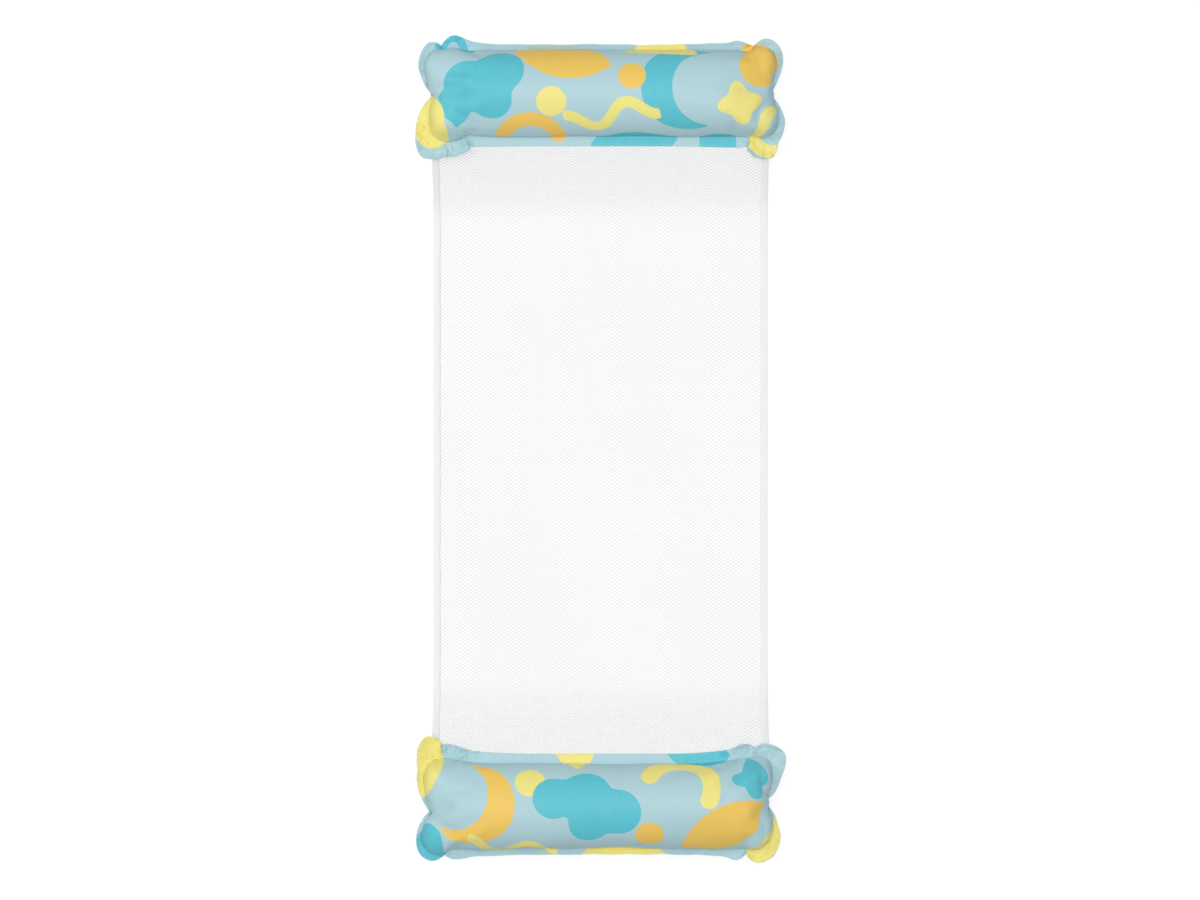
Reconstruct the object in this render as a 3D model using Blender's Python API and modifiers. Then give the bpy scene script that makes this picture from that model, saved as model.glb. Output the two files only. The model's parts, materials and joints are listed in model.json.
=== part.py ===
"""A water hammock: two inflated fabric pillows joined by a net panel that the user lies on.

X runs across the hammock, Y along it from the foot pillow to the head pillow, and Z up.
The origin is on the floor, midway between the pillows. Units are metres.
"""

import math
from collections import namedtuple

import bmesh
import bpy
from mathutils import Vector

# Pillow covers
PILLOW_SPACING = 1.139  # between the centre lines of the two tubes
PILLOW_LENGTH = 0.593  # across the hammock, from ear to ear
TUBE_WIDTH = 0.136  # from long seam to long seam
TUBE_HEIGHT = 0.127  # of the inflated tube
FLANGE_WIDTH = 0.013  # the flat sewn edge outside each long seam
END_TAPER = 0.085  # length over which the tube closes at each end
SIDE_DRAW = 0.026  # how far the short sides are drawn in between the ears
EAR_FLARE = 0.012  # how far the ears reach past the outer flange edge
COVER_FABRIC = 0.0008
REST_FLAT_DEPTH = 0.0005  # how deep the underside is pressed flat by the floor

# Bladders inside the covers
FILM = 0.0005
BLADDER_EASE = 0.002  # between the film and the cover
BLADDER_END_EASE = 0.012  # at each end of the tube
WELD_WIDTH = 0.004

# Net and its edges
NET_INSET = 0.027  # from the tip of the ears in to the net's edge
NET_THICKNESS = 0.0008
NET_STRAND = 0.008
NET_COLUMNS = 6
NET_CELL_LENGTH = 0.067
RAMP_LENGTH = 0.12  # over which the net comes down from the flange to the floor
TAPE_WIDTH = 0.011
TAPE_THICKNESS = 0.0005
HEM_SETBACK = 0.001  # from the net hem to the long seam

# Fold lines between the net and the pillows
FOLD_REACH = 0.003  # from the flange and the tapes to the fold line
FOLD_SLIT = 0.0024  # between the net and its hem, across the fold line

# Valves, along their own axis from the film outwards
VALVE_OFFSET = 0.12  # along the pillow from its middle
BASE_RADIUS = 0.012
BASE_THICKNESS = 0.001
COLLAR_DEPTH = 0.006
COLLAR_WALL = 0.001
STEM_RADIUS = 0.0045
STEM_WALL = 0.0015
STEM_HEIGHT = 0.014
STEM_RIM = 0.00075  # how far the lip and the inner rim stand out from the stem
RIM_THICKNESS = 0.001
PLUG_DEPTH = 0.0075
PLUG_CAP = 0.0015
FLAP_RADIUS = 0.004
FLAP_THICKNESS = 0.0006
STRAP_WIDTH = 0.003
STRAP_THICKNESS = 0.0008
STRAP_REACH = 0.0025
COVER_OPENING_RADIUS = 0.015
SLIDING_GAP = 0.0005  # between the collar and the stem

GAP = 0.0003  # between pieces that touch
CHAMFER = 0.0004

# Counts
SIDE_FACETS = 4  # across a panel, from its flat middle to a long seam
COVER_END_STEPS = (0.0, 0.12, 0.3, 0.6, 1.0)  # shares of the taper, from the end seam inwards
COVER_MIDDLE_COLUMNS = 6
BLADDER_END_STEPS = (0.0, 0.2, 0.55, 1.0)
BLADDER_MIDDLE_COLUMNS = 4
ROUND_SEGMENTS = 24
STRAP_SEGMENTS = 6
END_ROUNDING = 2.4  # power of the curve with which the tube closes at its ends

Shell = namedtuple("Shell", "length width rise lip flare wall gaps steps middle")

# Half the gap between the upper and lower cover panels: the net's hem lies in the inner one.
INNER_HALF_GAP = NET_THICKNESS / 2 + GAP
OUTER_HALF_GAP = GAP / 2
MEAN_HALF_GAP = (INNER_HALF_GAP + OUTER_HALF_GAP) / 2

COVER = Shell(
    length=PILLOW_LENGTH,
    width=TUBE_WIDTH,
    rise=TUBE_HEIGHT / 2 - COVER_FABRIC - MEAN_HALF_GAP,
    lip=FLANGE_WIDTH,
    flare=EAR_FLARE,
    wall=COVER_FABRIC,
    gaps=(INNER_HALF_GAP, MEAN_HALF_GAP, OUTER_HALF_GAP),
    steps=COVER_END_STEPS,
    middle=COVER_MIDDLE_COLUMNS,
)
BLADDER = Shell(
    length=PILLOW_LENGTH - 2 * BLADDER_END_EASE,
    width=TUBE_WIDTH - 2 * (COVER_FABRIC + BLADDER_EASE + WELD_WIDTH),
    rise=TUBE_HEIGHT / 2 - COVER_FABRIC - BLADDER_EASE - FILM - GAP / 2,
    lip=WELD_WIDTH,
    flare=0.0,
    wall=FILM,
    gaps=(GAP / 2, GAP / 2, GAP / 2),
    steps=BLADDER_END_STEPS,
    middle=BLADDER_MIDDLE_COLUMNS,
)

MIDDLE_Z = TUBE_HEIGHT / 2 - REST_FLAT_DEPTH
FOLD_TO_CENTRE = TUBE_WIDTH / 2 + FLANGE_WIDTH + FOLD_REACH
FOLD_Y = PILLOW_SPACING / 2 - FOLD_TO_CENTRE
NET_END_Y = FOLD_Y - FOLD_SLIT / 2
NET_HALF_WIDTH = PILLOW_LENGTH / 2 - NET_INSET
NET_FLOOR_Z = TAPE_THICKNESS + GAP + NET_THICKNESS / 2


def collection(name):
    made = bpy.data.collections.new(name)
    bpy.context.scene.collection.children.link(made)
    return made


def material(name, colour, roughness, metallic=0.0):
    made = bpy.data.materials.new(name)
    made.use_nodes = True
    shader = made.node_tree.nodes["Principled BSDF"]
    shader.inputs["Base Color"].default_value = (*colour, 1.0)
    shader.inputs["Roughness"].default_value = roughness
    shader.inputs["Metallic"].default_value = metallic
    made.diffuse_color = (*colour, 1.0)
    return made


def add_object(name, data, parent=None, location=(0, 0, 0), into=None):
    made = bpy.data.objects.new(name, data)
    (into or PARTS).objects.link(made)
    made.parent = parent
    made.location = location
    return made


def mesh_from(bm, name, surface):
    mesh = bpy.data.meshes.new(name)
    bm.to_mesh(mesh)
    bm.free()
    mesh.materials.append(surface)
    return mesh


def shade_round(mesh, degrees=40):
    mesh.shade_smooth()
    mesh.set_sharp_from_angle(angle=math.radians(degrees))


def solidify(made, thickness, offset):
    wall = made.modifiers.new("wall", "SOLIDIFY")
    wall.thickness = thickness
    wall.offset = offset
    wall.use_even_offset = True


def cut(made, cutter):
    hole = made.modifiers.new("hole", "BOOLEAN")
    hole.operation = "DIFFERENCE"
    hole.solver = "EXACT"
    hole.object = cutter


# Inflated shells: each panel is a grid, shaped by the tube's section and its closing ends


def row_angles(shell):
    """Angles round the tube, 0 at the flat middle strip and a right angle at each long seam."""
    flat = math.acos(1 - REST_FLAT_DEPTH / shell.rise)
    step = (math.pi / 2 - flat) / SIDE_FACETS
    side = [flat + i * step for i in range(SIDE_FACETS + 1)]
    return [-angle for angle in reversed(side)] + side


def column_places(shell):
    """(share of the full-height length, share of the end taper) for each column of the grid."""
    left = [(-1.0, step) for step in shell.steps]
    middle = [(-1 + 2 * i / shell.middle, 1.0) for i in range(1, shell.middle)]
    right = [(1.0, step) for step in reversed(shell.steps)]
    return left + middle + right


def skin_point(shell, place, row, angles):
    """A point of the upper panel's outer skin, from the tube's centre, with Y pointing outwards."""
    share, step = place
    last = len(angles) + 1
    on_lip = row in (0, last)
    angle = angles[min(max(row - 1, 0), len(angles) - 1)]
    ear = shell.flare * (1 - step) ** 2 if angle > 0 else 0.0
    full_x = shell.length / 2 - SIDE_DRAW - END_TAPER
    end_x = shell.length / 2 - SIDE_DRAW * math.cos(angle) ** 2
    if on_lip:
        end_x -= shell.lip / 2
    x = share * full_x + math.copysign((1 - step) * (end_x - full_x), share)
    y = (shell.width / 2 + ear) * math.sin(angle)
    if on_lip:
        y += math.copysign(shell.lip, angle)
    closing = math.sqrt(1 - (1 - step) ** END_ROUNDING)
    rise = 0.0 if on_lip else shell.rise * math.cos(angle) * closing
    inner, mean, outer = shell.gaps
    half_gap = inner if row <= 1 else outer if row >= last - 1 else mean
    return Vector((x, y, half_gap + shell.wall + rise))


def shell_panel(name, shell, side, up, surface, parent):
    """One panel of a cover or bladder: side is 1 at the head, up is 1 for the upper panel."""
    places, angles = column_places(shell), row_angles(shell)
    columns, rows = len(places) - 1, len(angles) + 1
    bm = bmesh.new()
    bmesh.ops.create_grid(bm, x_segments=columns, y_segments=rows, size=1)
    for vertex in bm.verts:
        column = round((vertex.co.x + 1) / 2 * columns)
        row = round((vertex.co.y + 1) / 2 * rows)
        point = skin_point(shell, places[column], row, angles)
        vertex.co = (point.x, side * point.y, up * point.z)
    if side * up < 0:
        bmesh.ops.reverse_faces(bm, faces=bm.faces)
    mesh = mesh_from(bm, name, surface)
    shade_round(mesh)
    made = add_object(name, mesh, parent, (0, side * FOLD_TO_CENTRE, 0))
    solidify(made, shell.wall, -1)
    return made


# The net and its edge tapes follow one path, from the foot fold line to the head fold line


def net_height(y):
    """Height of the net's middle surface: on the floor, then curving up to the flange."""
    share = max(0.0, (abs(y) - NET_END_Y + RAMP_LENGTH) / RAMP_LENGTH)
    return NET_FLOOR_Z + (MIDDLE_Z - NET_FLOOR_Z) * share**2 * (2 - share)


def net_path():
    """Points evenly spaced along the net's length, two for each row of cells."""
    samples = 2000
    ys = [NET_END_Y * (2 * i / samples - 1) for i in range(samples + 1)]
    walked = [0.0]
    for low, high in zip(ys, ys[1:]):
        walked.append(walked[-1] + math.hypot(high - low, net_height(high) - net_height(low)))
    cells = max(4, round(walked[-1] / NET_CELL_LENGTH))
    path, at = [], 0
    for i in range(2 * cells + 1):
        goal = walked[-1] * i / (2 * cells)
        while at < samples - 1 and walked[at + 1] < goal:
            at += 1
        share = (goal - walked[at]) / (walked[at + 1] - walked[at])
        y = ys[at] + share * (ys[at + 1] - ys[at])
        path.append(Vector((0, y, net_height(y))))
    return path


def path_normals(path):
    """The upward normal at each point of the path, halfway between its two neighbours' normals."""
    steps = [(b - a).normalized() for a, b in zip(path, path[1:])]
    before, after = [steps[0]] + steps, steps + [steps[-1]]
    along = [(a + b).normalized() for a, b in zip(before, after)]
    return [Vector((0, -step.z, step.y)) for step in along]


def net_panel(path):
    """Staggered diamond openings between strands, with a solid border all round."""
    edge = NET_HALF_WIDTH - TAPE_THICKNESS - GAP
    cell = 2 * edge / NET_COLUMNS
    length = (path[1] - path[0]).length
    last = len(path) - 1
    bm = bmesh.new()
    corners = {}

    def corner(column, row):
        """A lattice corner, laid out flat: odd columns belong to the rows in between."""
        if (column, row) not in corners:
            corners[column, row] = bm.verts.new((column * cell / 2 - edge, row * length, 0))
        return corners[column, row]

    for row in range(last + 1):
        for column in range(row % 2, 2 * NET_COLUMNS + 1, 2):
            # This corner is the left one of a diamond, apart from those at the sides.
            if column + 2 <= 2 * NET_COLUMNS:
                ring = [(column, row), (column + 1, row - 1), (column + 2, row), (column + 1, row + 1)]
                bm.faces.new([corner(*at) for at in ring if 0 <= at[1] <= last])
    for row in range(1, last, 2):
        left = [(0, row - 1), (1, row), (0, row + 1), (0, row)]
        right = [(2 * NET_COLUMNS - column, at) for column, at in reversed(left)]
        for ring in (left, right):
            bm.faces.new([corner(*at) for at in ring])
    bm.normal_update()
    cells = list(bm.faces)
    bmesh.ops.inset_individual(bm, faces=cells, thickness=NET_STRAND / 2, use_even_offset=True)
    bmesh.ops.delete(bm, geom=cells, context="FACES")
    for vertex in bm.verts:
        along = min(max(vertex.co.y / length, 0), last)
        row = min(int(along), last - 1)
        point = path[row].lerp(path[row + 1], along - row)
        vertex.co = (vertex.co.x, point.y, point.z)
    made = add_object("net_panel", mesh_from(bm, "net_panel", NET_WHITE))
    solidify(made, NET_THICKNESS, 0)
    return made


def edge_tape(name, side, path):
    """A tape folded over one long edge of the net: side is 1 on the right."""
    normals = path_normals(path)
    half = NET_THICKNESS / 2 + GAP + TAPE_THICKNESS
    section = [(TAPE_WIDTH, half), (0, half), (0, -half), (TAPE_WIDTH, -half)]
    setback = FOLD_REACH - FOLD_SLIT / 2
    line = list(path)
    line[0] = path[0] + (path[1] - path[0]).normalized() * setback
    line[-1] = path[-1] + (path[-2] - path[-1]).normalized() * setback
    columns, rows = len(section) - 1, len(path) - 1
    bm = bmesh.new()
    bmesh.ops.create_grid(bm, x_segments=columns, y_segments=rows, size=1)
    for vertex in bm.verts:
        inwards, offset = section[round((vertex.co.x + 1) / 2 * columns)]
        row = round((vertex.co.y + 1) / 2 * rows)
        point = line[row] + normals[row] * offset
        vertex.co = (side * (NET_HALF_WIDTH - inwards), point.y, point.z)
    if side < 0:
        bmesh.ops.reverse_faces(bm, faces=bm.faces)
    made = add_object(name, mesh_from(bm, name, TAPE_GREY))
    solidify(made, TAPE_THICKNESS, -1)
    return made


def net_hem(name, side, parent):
    """The end of the net, sewn between the two flanges of a cover."""
    start = FOLD_SLIT / 2
    depth = FOLD_REACH + FLANGE_WIDTH - HEM_SETBACK - start
    bm = bmesh.new()
    bmesh.ops.create_cube(bm, size=1)
    size = (2 * (NET_HALF_WIDTH - TAPE_THICKNESS - GAP), depth, NET_THICKNESS)
    bmesh.ops.scale(bm, vec=size, verts=bm.verts)
    mesh = mesh_from(bm, name, NET_WHITE)
    return add_object(name, mesh, parent, (0, side * (start + depth / 2), 0))


# Valves: each stands on a facet of the lower film, and its own Z axis points out of the pillow


def turned(name, profile, closed, surface, parent, location=(0, 0, 0)):
    """A turned piece: its profile is (radius, height) points, outer side first, top to bottom."""
    bm = bmesh.new()
    points = [bm.verts.new((radius, 0, height)) for radius, height in profile]
    for a, b in zip(points, points[1:]):
        bm.edges.new((a, b))
    if closed:
        bm.edges.new((points[-1], points[0]))
    made = add_object(name, mesh_from(bm, name, surface), parent, location)
    screw = made.modifiers.new("turn", "SCREW")
    screw.axis = "Z"
    screw.steps = ROUND_SEGMENTS
    screw.render_steps = ROUND_SEGMENTS
    screw.use_merge_vertices = True
    screw.merge_threshold = 0.00005
    screw.use_smooth_shade = True
    return made


def cylinder_cutter(name, radius, low, high, parent):
    bm = bmesh.new()
    bmesh.ops.create_cone(
        bm,
        cap_ends=True,
        segments=ROUND_SEGMENTS,
        radius1=radius,
        radius2=radius,
        depth=high - low,
    )
    mesh = bpy.data.meshes.new(name)
    bm.to_mesh(mesh)
    bm.free()
    made = add_object(name, mesh, parent, (0, 0, (low + high) / 2), CUTTERS)
    made.display_type = "WIRE"
    made.hide_render = True
    return made


def valve_frame(name, side, parent):
    """An empty on the lower film's outer facet next to the long seam's, Z pointing outwards."""
    angles = row_angles(BLADDER)
    row = len(angles) - 2
    place = (0.0, 1.0)
    low = skin_point(BLADDER, place, row, angles)
    high = skin_point(BLADDER, place, row + 1, angles)
    centre, edge = (low + high) / 2, high - low
    normal = Vector((0, side * edge.z, -edge.y)).normalized()
    if normal.y * side < 0:
        normal.y = -normal.y
    made = add_object(name, None, parent)
    made.location = (VALVE_OFFSET, side * (FOLD_TO_CENTRE + centre.y), -centre.z)
    made.rotation_euler = (math.atan2(-normal.y, normal.z), 0, 0)
    return made


def valve(end, side, parent):
    """The valve's pieces, named for the pillow's end, and the cutters for its two holes."""
    frame = valve_frame(f"{end}_valve_axis", side, parent)
    bore = STEM_RADIUS + SLIDING_GAP
    collar = bore + COLLAR_WALL
    top = GAP + BASE_THICKNESS
    turned(
        f"{end}_valve_base",
        [
            (BASE_RADIUS - CHAMFER, top),
            (BASE_RADIUS, top - CHAMFER),
            (BASE_RADIUS, GAP),
            (collar, GAP),
            (collar, -COLLAR_DEPTH),
            (bore, -COLLAR_DEPTH),
            (bore, top),
        ],
        True,
        VALVE_CLEAR,
        frame,
    )
    rim = STEM_RADIUS + STEM_RIM
    inside = STEM_RADIUS - STEM_WALL
    inner_rim = bore + STEM_RIM
    bottom = -COLLAR_DEPTH - GAP
    turned(
        f"{end}_valve_stem",
        [
            (rim, STEM_HEIGHT),
            (rim, STEM_HEIGHT - RIM_THICKNESS),
            (STEM_RADIUS, STEM_HEIGHT - RIM_THICKNESS),
            (STEM_RADIUS, bottom),
            (inner_rim, bottom),
            (inner_rim, bottom - RIM_THICKNESS),
            (inside, bottom - RIM_THICKNESS),
            (inside, STEM_HEIGHT),
        ],
        True,
        VALVE_CLEAR,
        frame,
    )
    flap_z = bottom - RIM_THICKNESS - GAP - FLAP_THICKNESS / 2
    flap_axis = add_object(f"{end}_flap_axis", None, frame, (0, -side * FLAP_RADIUS, flap_z))
    turned(
        f"{end}_valve_flap",
        [
            (0, FLAP_THICKNESS / 2),
            (FLAP_RADIUS, FLAP_THICKNESS / 2),
            (FLAP_RADIUS, -FLAP_THICKNESS / 2),
            (0, -FLAP_THICKNESS / 2),
        ],
        False,
        VALVE_CLEAR,
        flap_axis,
        (0, side * FLAP_RADIUS, 0),
    )
    cap_low = STEM_HEIGHT + GAP
    cap_high = cap_low + PLUG_CAP
    shank = inside - GAP
    turned(
        f"{end}_valve_plug",
        [
            (0, cap_high),
            (rim - CHAMFER, cap_high),
            (rim, cap_high - CHAMFER),
            (rim, cap_low),
            (shank, cap_low),
            (shank, STEM_HEIGHT - PLUG_DEPTH + CHAMFER),
            (shank - CHAMFER, STEM_HEIGHT - PLUG_DEPTH),
            (0, STEM_HEIGHT - PLUG_DEPTH),
        ],
        False,
        PLUG_BLUE,
        frame,
    )
    lip_z = STEM_HEIGHT - RIM_THICKNESS / 2
    cap_z = (cap_low + cap_high) / 2
    plug_strap(f"{end}_plug_strap", rim + GAP, lip_z, cap_z, frame)
    film_hole = cylinder_cutter(f"{end}_film_hole", collar + GAP, -COLLAR_DEPTH, COLLAR_DEPTH, frame)
    opening = cylinder_cutter(
        f"{end}_cover_opening", COVER_OPENING_RADIUS, -COLLAR_DEPTH, STEM_HEIGHT, frame
    )
    return film_hole, opening


def plug_strap(name, start, low, high, parent):
    """A flat strap that runs out from the stem's lip and back to the plug's cap."""
    middle, half = (low + high) / 2, (high - low) / 2
    outer, inner = half + STRAP_THICKNESS / 2, half - STRAP_THICKNESS / 2
    bend = start + STRAP_REACH
    turns = [math.pi * (i / STRAP_SEGMENTS - 0.5) for i in range(STRAP_SEGMENTS + 1)]
    outline = [(start, -outer)]
    outline += [(bend + outer * math.cos(turn), outer * math.sin(turn)) for turn in turns]
    outline += [(start, outer), (start, inner)]
    outline += [(bend + inner * math.cos(turn), inner * math.sin(turn)) for turn in reversed(turns)]
    outline += [(start, -inner)]
    curve = bpy.data.curves.new(name, "CURVE")
    curve.dimensions = "2D"
    curve.fill_mode = "BOTH"
    curve.extrude = STRAP_WIDTH / 2
    spline = curve.splines.new("POLY")
    spline.points.add(len(outline) - 1)
    for point, (x, y) in zip(spline.points, outline):
        point.co = (x, y, 0, 1)
    spline.use_cyclic_u = True
    curve.materials.append(PLUG_BLUE)
    made = add_object(name, curve, parent, (0, 0, middle))
    made.rotation_euler = (math.pi / 2, 0, 0)
    return made


def pillow(end, side):
    """A pillow and its valve, hung from an empty on the fold line between the net and the cover."""
    fold = add_object(f"{end}_fold_axis", None, None, (0, side * FOLD_Y, MIDDLE_Z))
    shell_panel(f"{end}_cover_upper", COVER, side, 1, COVER_BLUE, fold)
    cover_lower = shell_panel(f"{end}_cover_lower", COVER, side, -1, COVER_BLUE, fold)
    shell_panel(f"{end}_bladder_upper", BLADDER, side, 1, FILM_CLEAR, fold)
    bladder_lower = shell_panel(f"{end}_bladder_lower", BLADDER, side, -1, FILM_CLEAR, fold)
    net_hem(f"{end}_net_hem", side, fold)
    film_hole, opening = valve(end, side, fold)
    cut(bladder_lower, film_hole)
    cut(cover_lower, opening)


for item in list(bpy.data.objects):
    bpy.data.objects.remove(item, do_unlink=True)

PARTS = collection("water_hammock")
CUTTERS = collection("cutters")

COVER_BLUE = material("cover_blue", (0.41, 0.64, 0.70), 0.55)
NET_WHITE = material("net_white", (0.88, 0.88, 0.88), 0.6)
TAPE_GREY = material("tape_grey", (0.82, 0.82, 0.83), 0.7)
FILM_CLEAR = material("film_clear", (0.75, 0.80, 0.82), 0.3)
VALVE_CLEAR = material("valve_clear", (0.80, 0.84, 0.86), 0.35)
PLUG_BLUE = material("plug_blue", (0.10, 0.55, 0.66), 0.4)

net_line = net_path()
net_panel(net_line)
edge_tape("left_edge_tape", -1, net_line)
edge_tape("right_edge_tape", 1, net_line)
pillow("head", 1)
pillow("foot", -1)
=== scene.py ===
"""The look of the water hammock: two inflated printed pillows and the net between them.

Everything is in metres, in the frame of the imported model: X across, Y towards the head, Z up.
"""

import json
import math

import bmesh
import bpy
import numpy as np
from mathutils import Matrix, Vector, noise


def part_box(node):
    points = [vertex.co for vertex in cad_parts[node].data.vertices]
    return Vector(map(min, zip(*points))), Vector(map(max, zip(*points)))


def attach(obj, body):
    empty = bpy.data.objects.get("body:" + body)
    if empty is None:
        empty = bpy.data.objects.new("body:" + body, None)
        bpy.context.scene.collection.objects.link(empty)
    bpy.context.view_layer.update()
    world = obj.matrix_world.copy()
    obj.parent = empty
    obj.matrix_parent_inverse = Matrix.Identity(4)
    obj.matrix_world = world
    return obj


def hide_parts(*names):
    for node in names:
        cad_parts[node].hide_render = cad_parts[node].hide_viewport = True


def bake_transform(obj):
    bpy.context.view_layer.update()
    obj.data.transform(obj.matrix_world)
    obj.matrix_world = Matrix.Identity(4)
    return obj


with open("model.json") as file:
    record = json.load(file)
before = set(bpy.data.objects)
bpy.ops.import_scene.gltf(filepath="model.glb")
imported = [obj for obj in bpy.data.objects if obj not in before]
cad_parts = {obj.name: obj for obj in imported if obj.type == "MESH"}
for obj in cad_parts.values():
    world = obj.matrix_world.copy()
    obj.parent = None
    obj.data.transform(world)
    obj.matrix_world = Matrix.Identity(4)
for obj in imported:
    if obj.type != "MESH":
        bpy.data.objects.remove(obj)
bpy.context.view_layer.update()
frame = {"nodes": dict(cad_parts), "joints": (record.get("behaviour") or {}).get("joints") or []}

# Cloth of a pillow's cover, laid out flat, up to the seam that holds the bladder in
PATTERN_LENGTH = 0.62
PATTERN_WIDTH = 0.207
PATTERN_CORNER = 0.034
CLOTH_CELL = 0.0068
COVER_THICKNESS = 0.0008
SEAM_WAVE = 0.0018  # how far the seam strays from its plane
NET_HOLDS_UP_TO = 0.19  # the net holds the seam taut this far out, and lets go over NET_LETS_GO
NET_LETS_GO = 0.06

# Lobes at a cover's ends
LOBE_HEIGHT = 0.038  # least height of a lobe, reached LOBE_RISE in from its seam
LOBE_RISE = 0.038
LOBE_BLEND = 0.004  # height over which the cloth's own form turns into the lobe's
FULLNESS = 0.009  # how far the lobes swell out over their seam
SWELL_REACH = 0.03  # in from the end of the cloth, fading over SWELL_FADE
SWELL_FADE = 0.06
SWELL_START = 0.008  # distance from the seam over which the swelling starts
SWELL_LIFT = 0.3  # share of the swelling that goes up or down
CREASE_SMOOTHING = 8  # passes that round off folds bent more than this from point to point
CREASE_BEND = 0.001
FLOOR_CLEARANCE = 0.0004  # of the underside, and of the net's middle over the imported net's
FLOOR_PRESS = 0.0004  # how much lower than the floor the underside would hang
FOLDED_CLEARANCE = 0.003  # between the upper panel and the net with the pillow folded over it

# Cloth simulation
START_DOME = 0.006  # both panels start flat, but for a shallow dome, a gap and ripples
START_GAP = 0.0015
START_RIPPLE = 0.0035
SPARE_CLOTH = 0.18  # extra cloth at the corners, as a share
SPARE_REACH = 0.09
PRESSURE = 12
BENDING = 0.4
TENSION = 60
DRAWN_AT = 25  # the frame at which the seam is fully drawn in
LAST_FRAME = 45
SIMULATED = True

# The seam of each corner, from the long side's straight stretch to the notch of the short side:
# distance out along X and Y from the pillow's centre, how far the flange's edge curls up,
# how gathered the cloth is there, from 0 to 1, and how wide the flange is.
HEAD_CORNERS = {
    (1, 1): [
        (0.12, 0.0675, 0.004, 0, 0.0115), (0.2, 0.068, 0.004, 0, 0.013),
        (0.219, 0.071, 0.003, 0.2, 0.0155), (0.2454, 0.065, 0, 1, 0.0115),
        (0.2642, 0.0755, 0.002, 0, 0.0145), (0.2785, 0.0665, 0.004, 0, 0.0115),
        (0.2825, 0.0465, 0.003, 0, 0.0095), (0.2775, 0.0225, 0, 0.2, 0.006),
        (0.267, -0.0015, 0, 1, 0.004),
    ],
    (1, -1): [
        (0.12, 0.067, 0, 0, 0.0168), (0.2, 0.0675, 0, 0, 0.018),
        (0.222, 0.0685, 0.002, 0.2, 0.018), (0.2372, 0.0655, 0.004, 1, 0.015),
        (0.252, 0.0715, 0.006, 0, 0.0325), (0.2662, 0.0705, 0.006, 0, 0.032),
        (0.2752, 0.066, 0.004, 0, 0.013), (0.2815, 0.058, 0.003, 0.1, 0.011),
        (0.2852, 0.0415, 0.002, 0, 0.011), (0.2792, 0.0195, 0, 0.2, 0.0065),
        (0.267, 0.0015, 0, 1, 0.004),
    ],
    (-1, 1): [
        (0.12, 0.0675, 0.004, 0, 0.0115), (0.183, 0.068, 0.004, 0, 0.012),
        (0.2168, 0.0705, 0.003, 0.2, 0.0185), (0.2358, 0.0735, 0.003, 0.3, 0.0215),
        (0.2535, 0.067, 0, 1, 0.0095), (0.269, 0.069, 0.003, 0, 0.015),
        (0.2808, 0.0545, 0.004, 0, 0.01), (0.2838, 0.0385, 0.002, 0, 0.0065),
        (0.2758, 0.0145, 0, 0.2, 0.005), (0.263, -0.0023, 0, 1, 0.004),
    ],
    (-1, -1): [
        (0.12, 0.067, 0, 0, 0.0168), (0.19, 0.067, 0, 0, 0.0175),
        (0.2128, 0.0665, 0.003, 1, 0.02), (0.2288, 0.074, 0.005, 0.2, 0.0235),
        (0.2488, 0.076, 0.006, 0.1, 0.0275), (0.2645, 0.0715, 0.006, 0, 0.0385),
        (0.2735, 0.0585, 0.004, 0, 0.0215), (0.2756, 0.0335, 0.001, 0, 0.0145),
        (0.2726, 0.0175, 0, 0.2, 0.0085), (0.263, 0.0023, 0, 1, 0.004),
    ],
}
FOOT_CORNERS = {
    (-1, 1): [
        (0.12, 0.067, 0, 0, 0.0168), (0.185, 0.0687, 0, 0, 0.0175),
        (0.2208, 0.0715, 0.003, 0.3, 0.0205), (0.2408, 0.0765, 0.005, 0.5, 0.021),
        (0.2548, 0.0745, 0.005, 1, 0.024), (0.267, 0.0755, 0.007, 0, 0.04),
        (0.2775, 0.0665, 0.005, 0, 0.019), (0.283, 0.0555, 0.004, 0.1, 0.0085),
        (0.2848, 0.0435, 0.003, 0, 0.0085), (0.2818, 0.0255, 0.003, 0, 0.009),
        (0.2756, 0.0015, 0, 0.2, 0.004), (0.2665, -0.0097, 0, 1, 0.004),
    ],
    (-1, -1): [
        (0.12, 0.0665, 0.004, 0, 0.011), (0.185, 0.0665, 0.004, 0, 0.0135),
        (0.2168, 0.068, 0.003, 0.1, 0.015), (0.2368, 0.07, 0.003, 0.3, 0.0145),
        (0.2508, 0.0685, 0, 1, 0.0095), (0.2678, 0.0755, 0.002, 0, 0.013),
        (0.2808, 0.0685, 0.003, 0, 0.012), (0.2878, 0.0545, 0.002, 0, 0.007),
        (0.2858, 0.0385, 0, 0, 0.007), (0.2788, 0.0205, 0, 0.2, 0.005),
        (0.2665, 0.0097, 0, 1, 0.004),
    ],
    (1, 1): [
        (0.12, 0.067, 0, 0, 0.0168), (0.17, 0.0687, 0, 0, 0.0175),
        (0.2072, 0.073, 0.003, 0.3, 0.017), (0.2312, 0.077, 0.004, 0.4, 0.025),
        (0.249, 0.0725, 0.003, 1, 0.0175), (0.26, 0.0785, 0.005, 0, 0.0215),
        (0.2722, 0.07, 0.005, 0, 0.0265), (0.276, 0.0495, 0.004, 0, 0.014),
        (0.2702, 0.0255, 0, 0.1, 0.0095), (0.258, 0.0095, 0, 1, 0.004),
    ],
    (1, -1): [
        (0.12, 0.0665, 0.004, 0, 0.011), (0.19, 0.0665, 0.004, 0, 0.013),
        (0.2172, 0.0695, 0.002, 0.3, 0.0165), (0.2332, 0.0675, 0, 1, 0.0085),
        (0.249, 0.0715, 0.003, 0, 0.021), (0.263, 0.064, 0.004, 0, 0.022),
        (0.2745, 0.047, 0.003, 0, 0.0145), (0.2775, 0.03, 0, 0, 0.006),
        (0.2738, 0.015, 0, 0, 0.0045), (0.267, 0.0035, 0, 0.1, 0.003),
        (0.258, -0.0095, 0, 1, 0.004),
    ],
}
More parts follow.
